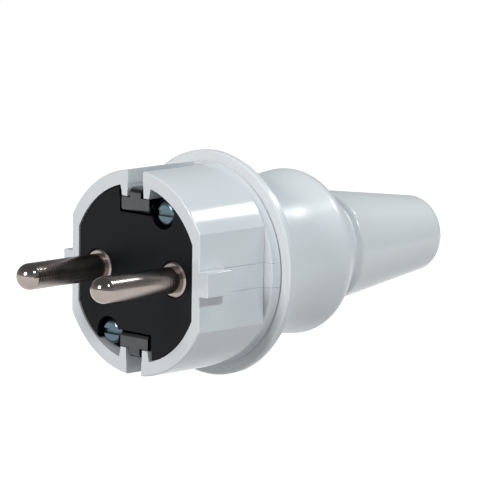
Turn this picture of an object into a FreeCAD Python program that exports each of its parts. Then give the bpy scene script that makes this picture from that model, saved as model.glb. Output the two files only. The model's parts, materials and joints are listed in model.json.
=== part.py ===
"""A rewireable earthed plug with two round pins and side earth clips, lying on its side.

Everything is drawn along the plug's own axis first: y = 0 is the face that meets the socket,
the pins point to -Y and the bend relief sleeve to +Y, X runs from pin to pin, and Z from the
lower earth clip to the upper one. The finished pieces are then laid down as one, so that the
collar's front edge and the flange's rim touch the table at z = 0. Sizes are in millimetres.
"""
import FreeCAD
import Part
import math
import os
from FreeCAD import Placement, Rotation, Vector

# Pins, as the standard for this plug has them
pin_diameter = 4.8
pin_spacing = 19.0
pin_reach = 19.0
pin_shoulder_diameter = 6.4
pin_tail_diameter = 6.9
pin_tail_inset = 0.6
pin_chamfer = 0.3
wire_hole_diameter = 3.4
wire_hole_depth = 8.0

# Front collar. Its 37 mm diameter follows from the pins' places and the walls round them
collar_length = 18.5
flat_depth = 2.2
band_length = 2.3
band_inset = 0.15
band_wall = 3.4
rim_wall = 2.5
flat_wall = 1.8
edge_round = 0.3
ledge_reach = 1.6
ledge_length = 1.8
slot_width = 3.8
rib_reach = 2.35
rib_lean = 0.2
rib_tip_width = 1.3
rib_root_width = 2.3
nub_height = 4.4
nub_reach = 2.1
nub_length = 6.0

# Pin carrier, the black insert
face_recess = 0.2
plate_thickness = 4.5
core_height = 10.4
chamber_wall = 0.9
core_gap = 0.4
core_beyond_bracket = 0.4
spine_width = 6.0
well_edge_above_screw = 1.3

# Earth bracket, one folded strip
strip_thickness = 0.8
strip_side_gap = 0.55
strip_inset = 3.25
bend_round = 0.95
clip_width = 7.0
clip_height = 2.7
clip_seat_gap = 0.6
hook_depth = 1.6
crossbar_width = 7.0
crossbar_past_clip = 1.0
bracket_to_band = 1.0

# Housing screws and their nuts
housing_screw_angle = 59.2
housing_screw_diameter = 3.0
housing_head_diameter = 4.5
housing_head_height = 2.0
housing_head_depth = 0.6
housing_head_to_rim = 0.45
housing_well_gap = 0.55
nut_across_flats = 5.5
nut_thickness = 2.4
nut_cover = 1.6
screw_end_beyond_nut = 0.6

# Other screws, nuts and washers
terminal_screw_diameter = 3.0
terminal_head_diameter = 4.8
terminal_head_height = 1.8
terminal_screw_gap = 0.5
terminal_screw_to_pin_end = 3.8
earth_screw_diameter = 3.5
earth_head_diameter = 6.4
earth_head_height = 2.2
earth_screw_reach = 5.0
earth_plate_side = 6.8
earth_plate_thickness = 1.0
lock_washer_thickness = 0.8
lock_washer_split = 0.4
clamp_screw_diameter = 3.0
clamp_head_diameter = 4.2
clamp_head_height = 2.0
square_nut_side = 4.6
square_nut_thickness = 2.2
head_dome = 0.9
driver_slot_width = 1.0
driver_slot_depth = 0.9

# Cord clamp, behind the room where the cores part
cord_diameter = 7.8
wiring_length = 7.8
clamp_length = 8.0
clamp_strap_thickness = 1.6
clamp_ear_bottom = 0.6
clamp_ear_thickness = 2.2
saddle_floor = 2.5
saddle_top = 1.6
arm_to_cord = 0.7
arm_beside_nut = 0.1
arm_top = 4.2
arm_thickness = 3.0

# Rear hood
flange_reach = 1.9
flange_rim = 1.3
lip_inset = 0.4
lip_length = 0.7
flare_length = 5.5
flare_round = 4.0
waist_round = 30.0
bulb_diameter = 30.6
shoulder_round = 3.5
shoulder_length = 6.9
neck_round = 0.8
neck_length = 0.5
neck_wall = 2.65
hood_wall = 1.9
hood_to_arms = 0.65
cord_room_length = 5.0
end_wall_thickness = 7.0
spigot_wall = 1.65
spigot_length = 1.8
boss_wall = 0.72
boss_floor = 0.9

# Bend relief sleeve, which hooks behind the hood's end wall
sleeve_start_diameter = 20.7
sleeve_start_reach = 0.7
sleeve_start_round = 0.9
sleeve_length = 25.8
sleeve_end_round = 2.4
sleeve_end_ring = 0.1
sleeve_foot_reach = 2.4
sleeve_foot_thickness = 2.2
sleeve_throat_wall = 2.5
cord_bore_gap = 0.4

# Clearances, and how far a cut runs past the face that it opens
fit = 0.15
snug = 0.05
loose = 0.3
past = 1.0

# Radii and half widths
pin_x = pin_spacing / 2
pin_radius = pin_diameter / 2
shoulder_radius = pin_shoulder_diameter / 2
tail_radius = pin_tail_diameter / 2
cord_radius = cord_diameter / 2
core_radius = pin_x + tail_radius + fit + chamber_wall
ledge_radius = core_radius + core_gap
rim_inner_radius = ledge_radius + ledge_reach
collar_radius = rim_inner_radius + rim_wall
band_inner_radius = collar_radius - band_wall
flat_x = collar_radius - flat_depth
flat_inner_x = flat_x - flat_wall
slot_half = slot_width / 2
rib_tip_height = rim_inner_radius - rib_reach
rib_tip_inner = slot_half + rib_lean
rib_tip_outer = rib_tip_inner + rib_tip_width
rib_root_outer = slot_half + rib_root_width
strip_half = slot_half - strip_side_gap
strip_height = collar_radius - strip_inset
clip_top = rib_tip_height - fit
clip_bottom = clip_top - clip_height
crossbar_shoulder = clip_bottom + crossbar_past_clip
flange_radius = collar_radius + flange_reach
spigot_radius = band_inner_radius - fit
mouth_radius = spigot_radius - spigot_wall

# Housing screws, with their heads just inside the rim
screw_circle = rim_inner_radius - housing_head_diameter / 2 - housing_head_to_rim
housing_screw_x = screw_circle * math.cos(math.radians(housing_screw_angle))
housing_screw_z = screw_circle * math.sin(math.radians(housing_screw_angle))

# Cord clamp and the room that it needs inside the hood
arm_inner = cord_radius + arm_to_cord
arm_outer = arm_inner + square_nut_side + 2 * arm_beside_nut
arm_bottom = arm_top + arm_thickness
clamp_screw_x = (arm_inner + arm_outer) / 2
room_radius = math.hypot(arm_outer, arm_bottom) + hood_to_arms
waist_radius = room_radius + hood_wall

# Sleeve and neck, from the cord outward
cord_bore_radius = cord_radius + cord_bore_gap
throat_radius = cord_bore_radius + sleeve_throat_wall
foot_radius = throat_radius + sleeve_foot_reach
neck_radius = throat_radius + fit + neck_wall
sleeve_end_radius = cord_bore_radius + sleeve_end_round + sleeve_end_ring

# Places along the axis, from the face to the cord
plate_back = face_recess + plate_thickness
ledge_back = plate_back + ledge_length
seat_y = housing_head_depth + housing_head_height
flat_length = collar_length - band_length
crossbar_back = flat_length - bracket_to_band
crossbar_front = crossbar_back - strip_thickness
core_end = crossbar_back + core_beyond_bracket
pin_tail_end = core_end - pin_tail_inset
terminal_screw_y = pin_tail_end - terminal_screw_to_pin_end
flange_front = collar_length
nut_front = flange_front + nut_cover
nut_back = nut_front + nut_thickness
screw_end = nut_back + screw_end_beyond_nut
boss_end = screw_end + boss_floor
flare_end = flange_front + flare_length
clamp_front = crossbar_back + wiring_length
clamp_back = clamp_front + clamp_length
clamp_screw_y = (clamp_front + clamp_back) / 2
room_end = clamp_back + cord_room_length
end_wall_front = room_end + 2 * sleeve_foot_thickness
neck_end = end_wall_front + end_wall_thickness
shoulder_end = neck_end - neck_length
bulb_y = shoulder_end - shoulder_length
sleeve_start = neck_end + sleeve_start_reach
sleeve_end = sleeve_start + sleeve_length
ACROSS = Vector(0, 1, 0)


def rod(radius, start, end, x=0.0, z=0.0):
    """A cylinder along the plug's axis."""
    return Part.makeCylinder(radius, end - start, Vector(x, start, z), ACROSS)


def post(radius, bottom, top, x, y):
    """A cylinder that stands up along Z."""
    return Part.makeCylinder(radius, top - bottom, Vector(x, y, bottom), Vector(0, 0, 1))


def bar(x0, x1, y0, y1, z0, z1):
    """A box between two corners."""
    return Part.makeBox(x1 - x0, y1 - y0, z1 - z0, Vector(x0, y0, z0))


def prism(points, start, end):
    """An outline of (x, z) points carried from start to end along the axis."""
    corners = [Vector(x, start, z) for x, z in points]
    face = Part.Face(Part.makePolygon(corners + corners[:1]))
    return face.extrude(Vector(0, end - start, 0))


def outline(corners):
    """A closed face in the XY plane from (radius, y, rounding) corners.

    A rounding of up to edge_round is drawn as a small flat, and a larger one as an arc.
    """
    points = [Vector(radius, y, 0) for radius, y, rounding in corners]
    starts = []
    edges = []
    for index, (radius, y, rounding) in enumerate(corners):
        here = points[index]
        before = (points[index - 1] - here).normalize()
        after = (points[(index + 1) % len(points)] - here).normalize()
        if rounding == 0:
            starts.append((here, here))
            continue
        half = before.getAngle(after) / 2
        run = rounding / math.tan(half)
        middle = (before + after).normalize() * (rounding / math.sin(half) - rounding)
        first = here + before * run
        last = here + after * run
        if rounding > edge_round:
            edges.append(Part.Arc(first, here + middle, last).toShape())
        else:
            edges.append(Part.makeLine(first, last))
        starts.append((first, last))
    for index in range(len(points)):
        leave = starts[index][1]
        reach = starts[(index + 1) % len(points)][0]
        if leave.distanceToPoint(reach) > 1e-6:
            edges.append(Part.makeLine(leave, reach))
    return Part.Face(Part.Wire(Part.__sortEdges__(edges)))


def turned(corners):
    """A solid of revolution about the plug's axis."""
    return outline(corners).revolve(Vector(0, 0, 0), ACROSS, 360)


def both_ends(shape):
    """The shape together with its copy turned half a turn about the axis."""
    return shape.fuse(shape.rotated(Vector(0, 0, 0), ACROSS, 180))


def mirror_x(shape):
    return shape.mirror(Vector(0, 0, 0), Vector(1, 0, 0))


def mirror_z(shape):
    return shape.mirror(Vector(0, 0, 0), Vector(0, 0, 1))


def edges_at(shape, test):
    return [edge for edge in shape.Edges if test(edge)]


def lies_at_y(y):
    """A test for edges that lie wholly at one place along the axis."""
    return lambda edge: all(abs(vertex.Y - y) < 1e-4 for vertex in edge.Vertexes)


def flatted(radius, half_width, start, end):
    """A round bar with a flat on the left and on the right."""
    return rod(radius, start, end).common(
        bar(-half_width, half_width, start, end, -radius, radius))


def guide_nub():
    """The rounded block that stands out of the middle of a flat."""
    half = nub_height / 2
    nub = bar(flat_x - flat_wall / 2, flat_x + nub_reach, 0, nub_length, -half, half)
    outer = edges_at(nub, lambda edge: edge.BoundBox.XMin > flat_x)
    return nub.makeFillet(edge_round / 2, outer)


def slot_rib():
    """One tapering rib beside the upper slot, on the right."""
    root = (rim_inner_radius + collar_radius) / 2
    return prism([(slot_half, root), (rib_tip_inner, rib_tip_height),
                  (rib_tip_outer, rib_tip_height), (rib_root_outer, root)], 0, flat_length)


def front_collar():
    """The light moulding round the face: flats, guide nubs, earth slots and their ribs."""
    body = flatted(collar_radius, flat_x, 0, flat_length)
    corners = edges_at(body, lambda edge: edge.BoundBox.YLength > flat_length / 2
                       and abs(edge.BoundBox.XLength) < 1e-4
                       and abs(abs(edge.BoundBox.Center.x) - flat_x) < 1e-3)
    body = body.makeFillet(edge_round, corners)
    body = body.makeFillet(edge_round, edges_at(body, lies_at_y(0)))
    band = turned([(band_inner_radius, flat_length, 0),
                   (collar_radius - band_inset, flat_length, edge_round / 2),
                   (collar_radius, collar_length, edge_round),
                   (band_inner_radius, collar_length, 0)])
    nub = guide_nub()
    body = body.fuse([nub, mirror_x(nub)])
    body = body.cut(flatted(rim_inner_radius, flat_inner_x, -past, plate_back))
    body = body.cut(rod(ledge_radius, 0, collar_length))
    body = body.cut(flatted(rim_inner_radius, flat_inner_x, ledge_back, flat_length - flat_wall))
    body = body.fuse(band)
    rib = slot_rib()
    ribs = [rib, mirror_x(rib), mirror_z(rib), mirror_x(mirror_z(rib))]
    body = body.fuse(ribs)
    # The rib roots end at the rim's own outside, and both slots run back to the band
    body = body.common(rod(collar_radius + nub_reach, 0, collar_length))
    slot = bar(-slot_half, slot_half, -past, flat_length,
               rib_tip_height - past, collar_radius + past)
    body = body.cut([slot, mirror_z(slot)])
    hole = rod(housing_screw_diameter / 2 + loose, plate_back - past, collar_length,
               housing_screw_x, housing_screw_z)
    return body.cut(both_ends(hole)).removeSplitter()


def pin_carrier():
    """The black insert: face plate, core with the pin chambers, spine for the earth bracket, arms."""
    plate = flatted(rim_inner_radius - fit, flat_inner_x - fit, face_recess, plate_back)
    plate = plate.makeFillet(edge_round / 2, edges_at(plate, lies_at_y(face_recess)))
    # Room for the collar's ribs and slot
    gap = bar(-rib_root_outer - fit, rib_root_outer + fit, -past, plate_back + past,
              rib_tip_height - fit, rim_inner_radius)
    plate = plate.cut([gap, mirror_z(gap)])
    # Each housing screw sits in a well that is open to the collar's wall
    well = rod(housing_head_diameter / 2 + housing_well_gap, -past, seat_y,
               housing_screw_x, housing_screw_z)
    open_side = bar(rib_tip_outer + fit, rim_inner_radius, -past, seat_y,
                    housing_screw_z + well_edge_above_screw, rim_inner_radius)
    hole = rod(housing_screw_diameter / 2 + fit, -past, plate_back + past,
               housing_screw_x, housing_screw_z)
    plate = plate.cut([both_ends(well), both_ends(open_side), both_ends(hole)])
    half = core_height / 2
    core = rod(core_radius, plate_back, core_end).common(
        bar(-core_radius, core_radius, plate_back, core_end, -half, half))
    spine_height = rib_tip_height - fit
    spine = bar(-spine_width / 2, spine_width / 2, plate_back, crossbar_front,
                -spine_height, spine_height)
    rail_half = slot_half - fit
    rail_height = strip_height - strip_thickness - snug
    rail = bar(-rail_half, rail_half, strip_thickness + snug, crossbar_front,
               -rail_height, rail_height)
    rail = rail.makeFillet(bend_round / 2, edges_at(rail, lambda edge: edge.BoundBox.XLength > 1))
    arms = bar(-arm_outer, arm_outer, plate_back, clamp_back, -arm_bottom, -arm_top)
    arms = arms.cut(bar(-arm_inner, arm_inner, crossbar_front, clamp_back + past,
                        -arm_bottom - past, 0))
    body = plate.fuse([core, spine, rail, arms])
    # The bracket's crossbar passes behind the spine, between the pin chambers
    channel = crossbar_width / 2 + loose
    body = body.cut(bar(-channel, channel, crossbar_front, core_end + past,
                        -core_radius, core_radius))
    for side in (-1, 1):
        body = body.cut(rod(shoulder_radius + fit, -past, plate_back, side * pin_x))
        body = body.cut(rod(tail_radius + fit, plate_back, core_end + past, side * pin_x))
        body = body.cut(post(terminal_head_diameter / 2 + loose, 0, core_radius,
                             side * pin_x, terminal_screw_y))
        body = body.cut(post(clamp_screw_diameter / 2 + fit, -arm_bottom - past, 0,
                             side * clamp_screw_x, clamp_screw_y))
        nut = square_nut_side / 2 + fit
        body = body.cut(bar(side * clamp_screw_x - nut, side * clamp_screw_x + nut,
                            clamp_screw_y - nut, clamp_screw_y + nut,
                            -arm_bottom - past, -arm_bottom + square_nut_thickness))
    body = body.cut(rod(earth_screw_diameter / 2 + loose, crossbar_front - earth_screw_reach,
                        crossbar_front + past))
    # The folded clips lie in shallow seats, with a slit for each hook
    seat_half = clip_width / 2 + clip_seat_gap
    seat = bar(-seat_half, seat_half, -past, strip_thickness + snug,
               clip_bottom - fit, rim_inner_radius)
    hook_back = strip_thickness + hook_depth + loose
    slit = bar(-seat_half, seat_half, 0, hook_back, clip_bottom - fit,
               clip_bottom + strip_thickness + loose)
    return body.cut([seat, mirror_z(seat), slit, mirror_z(slit)]).removeSplitter()


def contact_pin(side):
    """One turned pin: round tip, working length, shoulder through the plate and wire terminal."""
    tip = Part.makeSphere(pin_radius, Vector(0, pin_radius - pin_reach, 0))
    shaft = rod(pin_radius, pin_radius - pin_reach, shoulder_radius)
    collar = turned([(0, 0, 0), (shoulder_radius, 0, pin_chamfer),
                     (shoulder_radius, plate_back, 0), (0, plate_back, 0)])
    tail = turned([(0, plate_back, 0), (tail_radius, plate_back, 0),
                   (tail_radius, pin_tail_end, pin_chamfer), (0, pin_tail_end, 0)])
    body = tip.fuse([shaft, collar, tail])
    body = body.cut(rod(wire_hole_diameter / 2, pin_tail_end - wire_hole_depth,
                        pin_tail_end + past))
    body = body.cut(post(terminal_screw_diameter / 2 + snug, 0, tail_radius + past,
                         0, terminal_screw_y))
    body = body.removeSplitter()
    body.translate(Vector(side * pin_x, 0, 0))
    return body


def slotted(head, centre, direction, width_direction, head_diameter):
    """Cuts a driver slot into a head: centre is the middle of its top, direction points out of it."""
    half_width = width_direction * (driver_slot_width / 2)
    half_length = direction.cross(width_direction) * (head_diameter / 2 + past)
    low = centre - direction * driver_slot_depth
    corners = [low - half_width - half_length, low + half_width - half_length,
               low + half_width + half_length, low - half_width + half_length]
    face = Part.Face(Part.makePolygon(corners + corners[:1]))
    return head.cut(face.extrude(direction * (driver_slot_depth + past)))


def axial_screw(diameter, head_diameter, head_height, head_front, end, rear_facing=False):
    """A domed screw along the axis. head_front is the outer face of its head."""
    sign = -1 if rear_facing else 1
    under = head_front + sign * head_height
    body = turned([(0, head_front, 0), (head_diameter / 2, head_front, head_dome),
                   (head_diameter / 2, under, 0), (diameter / 2, under, 0),
                   (diameter / 2, end, pin_chamfer), (0, end, 0)])
    return slotted(body, Vector(0, head_front, 0), Vector(0, -sign, 0), Vector(0, 0, 1),
                   head_diameter)


def upright_screw(diameter, head_diameter, head_height, head_bottom, end):
    """A cheese head screw that points down, with its slot on top."""
    head_top = head_bottom + head_height
    head = post(head_diameter / 2, head_bottom, head_top, 0, 0)
    top = edges_at(head, lambda edge: abs(edge.BoundBox.Center.z - head_top) < 1e-4)
    head = head.makeFillet(edge_round, top[:1])
    body = head.fuse(post(diameter / 2, end, head_bottom, 0, 0)).removeSplitter()
    return slotted(body, Vector(0, 0, head_top), Vector(0, 0, 1), Vector(1, 0, 0), head_diameter)


def housing_screw():
    """The upper of the two screws that draw carrier, collar and hood together."""
    screw = axial_screw(housing_screw_diameter, housing_head_diameter, housing_head_height,
                        housing_head_depth, screw_end)
    screw.translate(Vector(housing_screw_x, 0, housing_screw_z))
    return screw


def hexagon(across, start, end):
    """A hexagonal bar at the upper housing screw, with a corner straight up."""
    radius = across / math.sqrt(3)
    turns = [math.radians(60 * corner + 30) for corner in range(6)]
    return prism([(housing_screw_x + radius * math.cos(turn),
                   housing_screw_z + radius * math.sin(turn)) for turn in turns], start, end)


def housing_nut():
    """The hexagon nut that the upper housing screw ends in, held by a boss in the hood."""
    nut = hexagon(nut_across_flats, nut_front, nut_back)
    return nut.cut(rod(housing_screw_diameter / 2 + snug, nut_front - past, nut_back + past,
                       housing_screw_x, housing_screw_z))


def terminal_screw(side):
    """The screw that presses a wire into the end of a pin."""
    under = tail_radius + terminal_screw_gap
    screw = upright_screw(terminal_screw_diameter, terminal_head_diameter,
                          terminal_head_height, under, wire_hole_diameter / 4)
    screw.translate(Vector(side * pin_x, terminal_screw_y, 0))
    return screw


def half_strip_path():
    """The upper half of the bracket's outline in the YZ plane, as corners of its outer face."""
    return [Vector(0, crossbar_back, 0), Vector(0, crossbar_back, strip_height),
            Vector(0, 0, strip_height), Vector(0, 0, clip_bottom),
            Vector(0, strip_thickness + hook_depth, clip_bottom)]


def earth_bracket():
    """One strip folded into a U round the carrier, with a wide hooked clip on each front end."""
    wide = crossbar_width / 2
    corners = half_strip_path()
    outer = []
    for place, corner in enumerate(corners[1:-1], start=1):
        before = (corners[place - 1] - corner).normalize()
        after = (corners[place + 1] - corner).normalize()
        first = corner + before * bend_round
        last = corner + after * bend_round
        middle = corner + (before + after).normalize() * (bend_round * (math.sqrt(2) - 1))
        outer.append((first, middle, last))
    edges = []
    leave = corners[0]
    for first, middle, last in outer:
        edges.append(Part.makeLine(leave, first))
        edges.append(Part.Arc(first, middle, last).toShape())
        leave = last
    edges.append(Part.makeLine(leave, corners[-1]))
    path = Part.Wire(edges)
    section = Part.Wire(Part.makePolygon([
        Vector(-wide, crossbar_back, 0), Vector(wide, crossbar_back, 0),
        Vector(wide, crossbar_front, 0), Vector(-wide, crossbar_front, 0),
        Vector(-wide, crossbar_back, 0)]))
    strip = path.makePipeShell([section], True, False)
    # The front view gives the strip its widths: crossbar, narrow leg and wide clip
    crossbar = bar(-wide, wide, crossbar_front - past, crossbar_back + past,
                   -past, crossbar_shoulder)
    legs = bar(-strip_half, strip_half, -past, crossbar_back + past,
               clip_bottom - past, strip_height + past)
    clip = bar(-clip_width / 2, clip_width / 2, -past, crossbar_front / 2,
               clip_bottom - past, clip_top)
    upper = strip.common(crossbar.fuse([legs, clip]))
    body = upper.fuse(mirror_z(upper))
    body = body.cut(rod(earth_screw_diameter / 2 + snug, crossbar_front - past,
                        crossbar_back + past))
    return body.removeSplitter()


def earth_clamp_plate():
    """The square plate that holds the earth wire against the bracket."""
    half = earth_plate_side / 2
    back = crossbar_back + earth_plate_thickness
    plate = bar(-half, half, crossbar_back, back, -half, half)
    plate = plate.makeFillet(edge_round, edges_at(plate, lambda edge: edge.BoundBox.YLength > 0.5))
    return plate.cut(rod(earth_screw_diameter / 2 + fit, crossbar_back - past, back + past))


def earth_lock_washer():
    """A split spring washer under the earth screw's head."""
    front = crossbar_back + earth_plate_thickness
    back = front + lock_washer_thickness
    ring = rod(earth_head_diameter / 2 - fit, front, back)
    ring = ring.cut(rod(earth_screw_diameter / 2 + fit, front - past, back + past))
    return ring.cut(bar(0, earth_head_diameter, front - past, back + past,
                        -lock_washer_split / 2, lock_washer_split / 2))


def earth_screw():
    head_front = (crossbar_back + earth_plate_thickness + lock_washer_thickness
                  + earth_head_height)
    end = crossbar_front - earth_screw_reach + loose
    return axial_screw(earth_screw_diameter, earth_head_diameter, earth_head_height,
                       head_front, end, rear_facing=True)


def cord_saddle():
    """The lower half of the cord clamp, which sits on the carrier's arms."""
    wings = bar(-arm_outer, arm_outer, clamp_front, clamp_back, -arm_top, -saddle_top)
    middle = bar(-arm_inner + fit, arm_inner - fit, clamp_front, clamp_back,
                 -cord_radius - saddle_floor, -saddle_top)
    body = wings.fuse(middle).cut(rod(cord_radius, clamp_front - past, clamp_back + past))
    for side in (-1, 1):
        body = body.cut(post(clamp_screw_diameter / 2 + fit, -arm_top - past, 0,
                             side * clamp_screw_x, clamp_screw_y))
    return body.removeSplitter()


def cord_clamp():
    """The upper half of the cord clamp: an arched strap with an ear on each side."""
    ear_top = clamp_ear_bottom + clamp_ear_thickness
    ears = bar(-arm_outer, arm_outer, clamp_front, clamp_back, clamp_ear_bottom, ear_top)
    arch = rod(cord_radius + clamp_strap_thickness, clamp_front, clamp_back).common(
        bar(-arm_outer, arm_outer, clamp_front, clamp_back, clamp_ear_bottom, arm_outer))
    body = ears.fuse(arch).cut(rod(cord_radius, clamp_front - past, clamp_back + past))
    for side in (-1, 1):
        body = body.cut(post(clamp_screw_diameter / 2 + fit, 0, ear_top + past,
                             side * clamp_screw_x, clamp_screw_y))
    return body.removeSplitter()


def clamp_screw(side):
    under = clamp_ear_bottom + clamp_ear_thickness
    screw = upright_screw(clamp_screw_diameter, clamp_head_diameter, clamp_head_height,
                          under, -arm_bottom)
    screw.translate(Vector(side * clamp_screw_x, clamp_screw_y, 0))
    return screw


def clamp_nut(side):
    half = square_nut_side / 2
    x = side * clamp_screw_x
    nut = bar(x - half, x + half, clamp_screw_y - half, clamp_screw_y + half,
              -arm_bottom, -arm_bottom + square_nut_thickness)
    return nut.cut(post(clamp_screw_diameter / 2 + snug, -arm_bottom - past, 0,
                        x, clamp_screw_y))


def hood_outside():
    """Corners of the hood's outside, from the flange's front face to the end of its neck."""
    lip_front = flange_front + flange_rim
    lip_back = lip_front + lip_length
    lip_radius = flange_radius - lip_inset
    return [(flange_radius, flange_front, edge_round),
            (flange_radius, lip_front, edge_round / 2),
            (lip_radius, lip_front, 0),
            (lip_radius, lip_back, edge_round / 2),
            (waist_radius + lip_inset, flare_end, flare_round),
            (waist_radius, clamp_back, waist_round),
            (bulb_diameter / 2, bulb_y, shoulder_round),
            (neck_radius, shoulder_end, neck_round),
            (neck_radius, neck_end, 0)]


def hood_inside():
    """Corners of the hood's hollow, from the hole in its end wall to the locating spigot."""
    hole = throat_radius + fit
    seat = foot_radius + loose
    return [(0, neck_end + past, 0),
            (hole, neck_end + past, 0),
            (hole, end_wall_front, 0),
            (seat, end_wall_front, 0),
            (seat, end_wall_front - sleeve_foot_thickness / 2, 0),
            (room_radius, room_end, 0),
            (room_radius, flare_end, 0),
            (mouth_radius, flange_front, 0),
            (mouth_radius, flange_front - spigot_length - past, 0),
            (0, flange_front - spigot_length - past, 0)]


def rear_hood():
    """The handle: flange, waist and bulb round the wiring room, and the grooved neck."""
    spigot_front = flange_front - spigot_length
    ends = [(0, neck_end, 0), (0, spigot_front, 0), (spigot_radius, spigot_front, 0),
            (spigot_radius, flange_front, 0)]
    body = turned(hood_outside() + ends)
    # Inside, a boss on the flange holds the nut of each housing screw
    boss_radius = nut_across_flats / math.sqrt(3) + boss_wall
    boss = rod(boss_radius, flange_front, boss_end, housing_screw_x, housing_screw_z)
    body = body.cut(turned(hood_inside()).cut([boss, opposite(boss)]))
    hole = rod(housing_screw_diameter / 2 + loose, spigot_front - past, screw_end + loose,
               housing_screw_x, housing_screw_z)
    # The nut slides into its pocket from the hollow side
    pocket = hexagon(nut_across_flats + 2 * snug, nut_front, nut_back)
    way_in = pocket.copy()
    across = math.radians(60)
    way_in.translate(Vector(math.cos(across), 0, math.sin(across)) * -nut_across_flats)
    body = body.cut([both_ends(hole), both_ends(pocket), both_ends(way_in)])
    return body.removeSplitter()


def bend_relief_sleeve():
    """The soft sleeve: foot inside the hood, throat through its end wall, and long taper."""
    foot_front = end_wall_front - sleeve_foot_thickness
    return turned([(cord_bore_radius, foot_front, 0),
                   (foot_radius, foot_front, 0),
                   (foot_radius, end_wall_front, 0),
                   (throat_radius, end_wall_front, 0),
                   (throat_radius, neck_end, 0),
                   (neck_radius, neck_end, 0),
                   (sleeve_start_diameter / 2, sleeve_start, sleeve_start_round),
                   (sleeve_end_radius, sleeve_end, sleeve_end_round),
                   (cord_bore_radius, sleeve_end, 0)])


def opposite(shape):
    """The copy half a turn about the plug's axis away."""
    return shape.rotated(Vector(0, 0, 0), ACROSS, 180)


def lay_down(shape):
    """Turns the plug nose down about X until collar edge and flange rim lie on z = 0."""
    front_drop = math.sqrt((collar_radius - edge_round) ** 2 - slot_half ** 2)
    rim_drop = flange_radius - edge_round
    angle = math.atan2(rim_drop - front_drop, flange_front)
    sine = math.sin(angle)
    cosine = math.cos(angle)
    table = (flange_front + edge_round) * sine - rim_drop * cosine - edge_round
    rear = ((sleeve_end - sleeve_end_round) * cosine
            + (sleeve_end_radius - sleeve_end_round) * sine + sleeve_end_round)
    front = (pin_radius - pin_reach) * cosine - pin_radius
    rest = Placement(Vector(0, -(front + rear) / 2, -table),
                     Rotation(Vector(1, 0, 0), math.degrees(angle)))
    laid = shape.copy()
    laid.Placement = rest.multiply(laid.Placement)
    return laid


def pieces():
    yield "front_collar", front_collar()
    yield "pin_carrier", pin_carrier()
    yield "contact_pin_left", contact_pin(-1)
    yield "contact_pin_right", contact_pin(1)
    yield "terminal_screw_left", terminal_screw(-1)
    yield "terminal_screw_right", terminal_screw(1)
    yield "earth_bracket", earth_bracket()
    yield "earth_clamp_plate", earth_clamp_plate()
    yield "earth_lock_washer", earth_lock_washer()
    yield "earth_screw", earth_screw()
    yield "housing_screw_upper", housing_screw()
    yield "housing_screw_lower", opposite(housing_screw())
    yield "housing_nut_upper", housing_nut()
    yield "housing_nut_lower", opposite(housing_nut())
    yield "cord_saddle", cord_saddle()
    yield "cord_clamp", cord_clamp()
    yield "clamp_screw_left", clamp_screw(-1)
    yield "clamp_screw_right", clamp_screw(1)
    yield "clamp_nut_left", clamp_nut(-1)
    yield "clamp_nut_right", clamp_nut(1)
    yield "rear_hood", rear_hood()
    yield "bend_relief_sleeve", bend_relief_sleeve()


os.makedirs("parts", exist_ok=True)
for name, shape in pieces():
    laid = lay_down(shape)
    laid.exportStep("parts/" + name + ".step")
    print(name, "solids", len(laid.Solids), "valid", laid.isValid(), "volume", round(laid.Volume, 1))
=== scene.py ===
"""Looks, light and camera of an earthed mains plug that lies on a pale table.

The plug has no stand. It rests on its collar and flange, so its axis rises to the rear.
Lengths are in metres, and azimuth 0 is in front of the pins with 90 to their right.
"""
import json
import math

import bmesh
import bpy
from mathutils import Matrix, Vector

MM = 0.001

# How the plug lies: the rise of its axis, and where the middle of its black face comes to lie
LAY_ANGLE = math.radians(6.168)
PLUG_ORIGIN = Vector((0, -27.53, 18.26)) * MM

# The camera stands where the photograph was taken from, far away behind a very long lens
CAMERA_AZIMUTH = 44.255
CAMERA_ELEVATION = 4.559
CAMERA_ROLL = 5.105
CAMERA_DISTANCE = 900 * MM
CAMERA_LENS = 380.1
CAMERA_SENSOR = 36.0
CAMERA_TARGET = Vector((12.545, -14.458, 25.783)) * MM

# It sees everything between these distances: the plug, and the table to its far edge
CAMERA_CLIP_START = 0.05
CAMERA_CLIP_END = 20

# Flow clouds in the plastics and stains on the plating, and how far the gloss varies in each
CLOUD_SIZE = 14 * MM
PLASTIC_GLOSS_SPREAD = 0.04
STAIN_SIZE = 2.5 * MM
PLATING_POLISHED = 0.05
PLATING_DULLED = 0.08

# The wave texture at scale 1 repeats at about this length
WAVE_LENGTH = 0.314

# The polished round tips of the pins: where they end in front of the black face, over what length
# the lathe's rings set in behind them, and how much less rough the tips are than the turned metal
POLISHED_TIP_END = -16.8 * MM
RINGS_SET_IN = 0.4 * MM
TIP_POLISH = 0.11

# The grooves at both edges of the mould's side slides, from the key rib's back to the flange
SLIDE_HALF_WIDTH = 2.2 * MM
SLIDE_LINE_WIDTH = 0.26 * MM
SLIDE_LINE_DEPTH = 0.06 * MM
SLIDE_INNER = 15.9 * MM
SLIDE_START = 6.05 * MM

# The table is wide enough to fill the view from any side above it, and glows nearly white
TABLE_HALF_SIDE = 4000 * MM
TABLE_GLOW = 0.9

# The room's greys at heights from 0, straight below, to 1, straight above. The two ends come first,
# because Blender's ramp starts with them. The room darkens upwards, which keeps the metal dark there
ROOM_TONES = [
    (0.0, (0.42, 0.43, 0.45)),
    (1.0, (0.16, 0.17, 0.18)),
    (0.30, (0.37, 0.38, 0.39)),
    (0.44, (0.44, 0.44, 0.45)),
    (0.58, (0.38, 0.38, 0.39)),
    (0.75, (0.18, 0.19, 0.20)),
]

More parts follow.
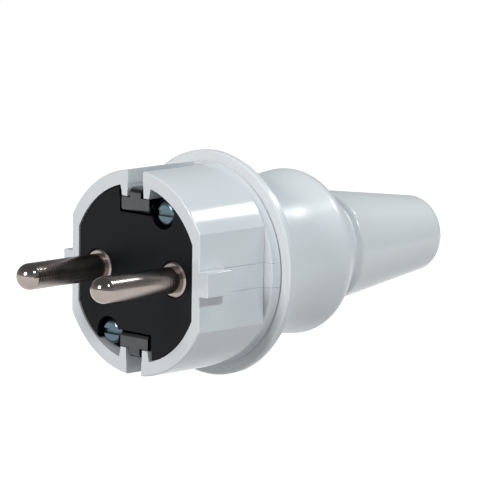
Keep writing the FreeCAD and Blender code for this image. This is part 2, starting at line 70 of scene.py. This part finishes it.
# The point that the lamps stand round, and each lamp's name, azimuth, elevation, distance, width,
# height, radiance and colour. The right lamp is the key light and casts the key rib's shadow. The
# front lamp lights the face and the rim. The back lamp draws the bright band on the collar
LIT_POINT = Vector((0, -10, 20)) * MM
OVERHEAD_LAMP = "overhead_softbox"
LAMPS = [
    (OVERHEAD_LAMP, 60, 80, 700 * MM, 560 * MM, 560 * MM, 0.5, "#FFFFFF"),
    ("right_softbox", 92, 42, 700 * MM, 76 * MM, 76 * MM, 160, "#E0ECF0"),
    ("front_softbox", 3, 22, 700 * MM, 226 * MM, 226 * MM, 23, "#FFFFFF"),
    ("back_softbox", 157, 46, 600 * MM, 100 * MM, 84 * MM, 32, "#FFFFFF"),
]

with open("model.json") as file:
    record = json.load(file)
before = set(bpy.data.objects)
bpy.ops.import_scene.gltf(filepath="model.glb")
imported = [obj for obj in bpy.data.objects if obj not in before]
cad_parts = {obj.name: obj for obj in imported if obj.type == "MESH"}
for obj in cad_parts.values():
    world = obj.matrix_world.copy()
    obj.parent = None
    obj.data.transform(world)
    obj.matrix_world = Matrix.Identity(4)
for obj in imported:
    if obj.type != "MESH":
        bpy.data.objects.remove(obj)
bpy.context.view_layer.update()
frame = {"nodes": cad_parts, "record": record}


def direction(azimuth, elevation):
    """The way to a lamp or the camera."""
    turn, rise = math.radians(azimuth), math.radians(elevation)
    return Vector((math.sin(turn) * math.cos(rise), -math.cos(turn) * math.cos(rise), math.sin(rise)))


def linear(hex_colour):
    """An sRGB hex colour as linear RGBA."""
    channels = [int(hex_colour[i:i + 2], 16) / 255 for i in (1, 3, 5)]
    curve = [c / 12.92 if c <= 0.04045 else ((c + 0.055) / 1.055) ** 2.4 for c in channels]
    return (*curve, 1.0)


def add_node(owner, kind, settings=None, **sockets):
    """Adds a node to a material or world, sets its properties, and fills or links its inputs.

    An input goes by its name, or by i and its number where names repeat.
    """
    tree = owner.node_tree
    node = tree.nodes.new(kind)
    for name, value in (settings or {}).items():
        setattr(node, name, value)
    for name, value in sockets.items():
        socket = node.inputs[int(name[1:]) if name[1:].isdigit() else name.replace("_", " ")]
        if isinstance(value, bpy.types.NodeSocket):
            tree.links.new(value, socket)
        else:
            socket.default_value = value
    return node


def new_material(name):
    """A material with no nodes yet."""
    material = bpy.data.materials.new(name)
    material.use_nodes = True
    material.node_tree.nodes.clear()
    return material


def finish_material(material, **sockets):
    """Closes a material with its surface shader."""
    shader = add_node(material, "ShaderNodeBsdfPrincipled", **sockets)
    add_node(material, "ShaderNodeOutputMaterial", Surface=shader.outputs["BSDF"])
    return material


def plug_coordinates(material):
    """The plug's own coordinates: Y runs back along its axis from the black face."""
    place = add_node(material, "ShaderNodeTexCoord")
    shift = -(Matrix.Rotation(-LAY_ANGLE, 3, "X") @ PLUG_ORIGIN)
    return add_node(material, "ShaderNodeMapping", Vector=place.outputs["Object"],
                    Location=shift, Rotation=(-LAY_ANGLE, 0, 0)).outputs["Vector"]


def mottle(material, place, size, colour, shade, detail):
    """Soft clouds of the given size between two close colours. Returns the clouds and the colour."""
    clouds = add_node(material, "ShaderNodeTexNoise", Vector=place, Scale=1 / size, Detail=detail)
    tint = add_node(material, "ShaderNodeMix", {"data_type": "RGBA"}, i0=clouds.outputs["Fac"],
                    i6=linear(shade), i7=linear(colour))
    return clouds.outputs["Fac"], tint.outputs[2]


def slide_lines(material, place, normal):
    """Adds the fine grooves that the mould's side slides left along the collar's flats."""
    along = add_node(material, "ShaderNodeSeparateXYZ", Vector=place)
    reach = add_node(material, "ShaderNodeMath", {"operation": "ABSOLUTE"}, i0=along.outputs["X"])
    rise = add_node(material, "ShaderNodeMath", {"operation": "ABSOLUTE"}, i0=along.outputs["Z"])
    gap = add_node(material, "ShaderNodeMath", {"operation": "SUBTRACT"}, i0=rise.outputs[0],
                   i1=SLIDE_HALF_WIDTH)
    off = add_node(material, "ShaderNodeMath", {"operation": "ABSOLUTE"}, i0=gap.outputs[0])
    line = add_node(material, "ShaderNodeMapRange", {"interpolation_type": "SMOOTHSTEP"},
                    Value=off.outputs[0], i2=SLIDE_LINE_WIDTH / 2, i3=1.0, i4=0.0)
    outside = add_node(material, "ShaderNodeMath", {"operation": "GREATER_THAN"},
                       i0=reach.outputs[0], i1=SLIDE_INNER)
    behind = add_node(material, "ShaderNodeMath", {"operation": "GREATER_THAN"},
                      i0=along.outputs["Y"], i1=SLIDE_START)
    there = add_node(material, "ShaderNodeMath", {"operation": "MULTIPLY"},
                     i0=outside.outputs[0], i1=behind.outputs[0])
    depth = add_node(material, "ShaderNodeMath", {"operation": "MULTIPLY"},
                     i0=line.outputs["Result"], i1=there.outputs[0])
    return add_node(material, "ShaderNodeBump", {"invert": True}, Height=depth.outputs[0],
                    Distance=SLIDE_LINE_DEPTH, Strength=1.0, Normal=normal).outputs["Normal"]


def moulded_plastic(name, colour, shade, roughness, grain, grain_depth, ior, lined=False):
    """A moulded part: an even colour with faint flow clouds, and the grain of the tool."""
    material = new_material(name)
    place = plug_coordinates(material)
    _, tint = mottle(material, place, CLOUD_SIZE, colour, shade, detail=3)
    texture = add_node(material, "ShaderNodeTexNoise", Vector=place, Scale=1 / grain,
                       Detail=4, Roughness=0.6).outputs["Fac"]
    gloss = add_node(material, "ShaderNodeMapRange", Value=texture,
                     i3=roughness - PLASTIC_GLOSS_SPREAD, i4=roughness + PLASTIC_GLOSS_SPREAD)
    relief = add_node(material, "ShaderNodeBump", Height=texture, Distance=grain_depth,
                      Strength=1.0).outputs["Normal"]
    if lined:
        relief = slide_lines(material, place, relief)
    return finish_material(material, Base_Color=tint, Roughness=gloss.outputs["Result"],
                           IOR=ior, Normal=relief)


def plated_metal(name, colour, shade, roughness, ring, ring_depth):
    """A plated turned part: rings from the cutting tool, but none on the polished pin tips."""
    material = new_material(name)
    place = plug_coordinates(material)
    stains, tint = mottle(material, place, STAIN_SIZE, colour, shade, detail=4)
    wave = add_node(material, "ShaderNodeTexWave", {"wave_type": "BANDS", "bands_direction": "Y"},
                    Vector=place, Scale=WAVE_LENGTH / ring, Distortion=0.4, Detail=1)
    along = add_node(material, "ShaderNodeSeparateXYZ", Vector=place)
    shaft = add_node(material, "ShaderNodeMapRange", Value=along.outputs["Y"],
                     i1=POLISHED_TIP_END, i2=POLISHED_TIP_END + RINGS_SET_IN).outputs["Result"]
    rings = add_node(material, "ShaderNodeMath", {"operation": "MULTIPLY"},
                     i0=wave.outputs["Fac"], i1=shaft)
    relief = add_node(material, "ShaderNodeBump", Height=rings.outputs[0], Distance=ring_depth,
                      Strength=1.0)
    turned = add_node(material, "ShaderNodeMapRange", Value=stains,
                      i3=roughness - PLATING_POLISHED, i4=roughness + PLATING_DULLED)
    polish = add_node(material, "ShaderNodeMapRange", Value=shaft, i3=TIP_POLISH, i4=0.0)
    gloss = add_node(material, "ShaderNodeMath", {"operation": "SUBTRACT"},
                     i0=turned.outputs["Result"], i1=polish.outputs["Result"])
    return finish_material(material, Base_Color=tint, Metallic=1.0,
                           Roughness=gloss.outputs[0], Normal=relief.outputs["Normal"])


# The grain of a mould or a lathe is finer than a pixel, so each is drawn as coarse as it needs to show
FINISHES = {
    # Injection moulded polyamide: even light grey, satin, with the faint grain of an eroded tool
    "moulded_light_grey": moulded_plastic(
        "moulded_polyamide_light_grey", "#DEE1E2", "#D8DCDD",
        roughness=0.29, grain=0.25 * MM, grain_depth=0.002 * MM, ior=1.53),
    # Soft PVC: much the same grey, a little smoother, so that it takes a clear soft highlight
    "soft_light_grey": moulded_plastic(
        "soft_pvc_light_grey", "#DEE1E1", "#D9DDDD",
        roughness=0.24, grain=0.4 * MM, grain_depth=0.003 * MM, ior=1.54),
    # Thermoset moulding compound: near black with a fine matt grain. The low index of refraction
    # stands for the way its matt skin takes no clear reflection
    "moulded_black": moulded_plastic(
        "thermoset_compound_black", "#0A0C11", "#07090D",
        roughness=0.45, grain=0.15 * MM, grain_depth=0.004 * MM, ior=1.22),
    # Bright nickel over turned brass: warm grey and satin, with the rings of the lathe just visible
    "nickel_plated_brass": plated_metal(
        "nickel_plated_turned_brass", "#A69B96", "#918781",
        roughness=0.23, ring=0.62 * MM, ring_depth=0.008 * MM),
    # Nickel plated strip: neutral and smooth. Its colour is darkened as painted shade and painted dark
    # reflection, for the clips that show dark in the shade of the slots
    "nickel_plated_strip": plated_metal(
        "nickel_plated_strip", "#565758", "#48494A",
        roughness=0.20, ring=0.35 * MM, ring_depth=0.0004 * MM),
    # Blue passivated zinc plate on the screws that show: a cold blue grey, slightly dull
    "blue_zinc_screw": plated_metal(
        "blue_passivated_zinc", "#66777F", "#52636B",
        roughness=0.28, ring=0.3 * MM, ring_depth=0.0008 * MM),
    # Clear zinc plate inside the housing: pale, neutral and slightly dull
    "zinc_plated_steel": plated_metal(
        "zinc_plated_steel", "#B9BDBF", "#A3A7A9",
        roughness=0.32, ring=0.3 * MM, ring_depth=0.0008 * MM),
}

# The front collar is of the same polyamide, but glossier, from a polished mould with side slides. Its
# grey is a little darker than the housing's, and that difference is painted shade that evens out how
# the lamps light the two parts
COLLAR_FINISH = moulded_plastic(
    "moulded_polyamide_collar", "#D8DBDD", "#D2D6D8",
    roughness=0.13, grain=0.25 * MM, grain_depth=0.002 * MM, ior=1.53, lined=True)

for part in frame["record"]["subparts"]:
    finish = FINISHES[part["material_slot"]]
    if part["node"] == "front_collar":
        finish = COLLAR_FINISH
    for slot in frame["nodes"][part["node"]].material_slots:
        slot.material = finish


def light_table():
    """A wide table of opal acrylic, lit from below, that the plug lies on.

    It doesn't light the plug, because the photograph's underside is dark.
    """
    mesh = bmesh.new()
    bmesh.ops.create_grid(mesh, x_segments=1, y_segments=1, size=TABLE_HALF_SIDE)
    table_mesh = bpy.data.meshes.new("light_table")
    mesh.to_mesh(table_mesh)
    mesh.free()
    table_mesh.materials.append(finish_material(
        new_material("opal_acrylic"), Base_Color=linear("#BCBCBC"), Roughness=0.9,
        Specular_IOR_Level=0.0, Emission_Color=linear("#FFFFFF"), Emission_Strength=TABLE_GLOW))
    table = bpy.data.objects.new("light_table", table_mesh)
    table.visible_diffuse = False
    bpy.context.scene.collection.objects.link(table)


def softbox(name, azimuth, elevation, distance, width, height, radiance, colour):
    """A round or oval lamp with a diffuser, aimed at the plug. Its area and radiance give its power."""
    light = bpy.data.lights.new(name, "AREA")
    light.shape = "ELLIPSE"
    light.size = width
    light.size_y = height
    light.energy = radiance * math.pi * (math.pi / 4 * width * height)
    light.color = linear(colour)[:3]
    lamp = bpy.data.objects.new(name, light)
    place = LIT_POINT + direction(azimuth, elevation) * distance
    aim = (LIT_POINT - place).to_track_quat("-Z", "Y")
    lamp.matrix_world = Matrix.Translation(place) @ aim.to_matrix().to_4x4()
    bpy.context.scene.collection.objects.link(lamp)
    return lamp


def studio_room():
    """The room round the plug, as greys from straight below to straight above."""
    world = bpy.data.worlds.new("studio_room")
    world.use_nodes = True
    world.node_tree.nodes.clear()
    way = add_node(world, "ShaderNodeTexCoord")
    split = add_node(world, "ShaderNodeSeparateXYZ", Vector=way.outputs["Generated"])
    height = add_node(world, "ShaderNodeMapRange", Value=split.outputs["Z"], i1=-1.0)
    ramp = add_node(world, "ShaderNodeValToRGB", Fac=height.outputs["Result"])
    stops = ramp.color_ramp.elements
    for place, (rise, grey) in enumerate(ROOM_TONES):
        stop = stops[place] if place < 2 else stops.new(rise)
        stop.position = rise
        stop.color = (*grey, 1.0)
    glow = add_node(world, "ShaderNodeBackground", Color=ramp.outputs["Color"])
    add_node(world, "ShaderNodeOutputWorld", Surface=glow.outputs["Background"])
    bpy.context.scene.world = world


def photographers_camera():
    """The camera, turned, tilted and rolled as the photograph shows."""
    camera = bpy.data.cameras.new("camera")
    camera.lens = CAMERA_LENS
    camera.sensor_width = CAMERA_SENSOR
    camera.clip_start = CAMERA_CLIP_START
    camera.clip_end = CAMERA_CLIP_END
    holder = bpy.data.objects.new("camera", camera)
    turn = (Matrix.Rotation(math.radians(CAMERA_AZIMUTH), 4, "Z")
            @ Matrix.Rotation(math.radians(90 - CAMERA_ELEVATION), 4, "X")
            @ Matrix.Rotation(math.radians(CAMERA_ROLL), 4, "Z"))
    away = direction(CAMERA_AZIMUTH, CAMERA_ELEVATION) * CAMERA_DISTANCE
    holder.matrix_world = Matrix.Translation(CAMERA_TARGET + away) @ turn
    bpy.context.scene.collection.objects.link(holder)
    bpy.context.scene.camera = holder


light_table()
studio_room()
for lamp_setting in LAMPS:
    lamp = softbox(*lamp_setting)
    # The overhead lamp only lightens the plastic, so it leaves no spot of its own on the gloss
    lamp.visible_glossy = lamp.name != OVERHEAD_LAMP
photographers_camera()
bpy.context.scene.view_settings.view_transform = "Standard"
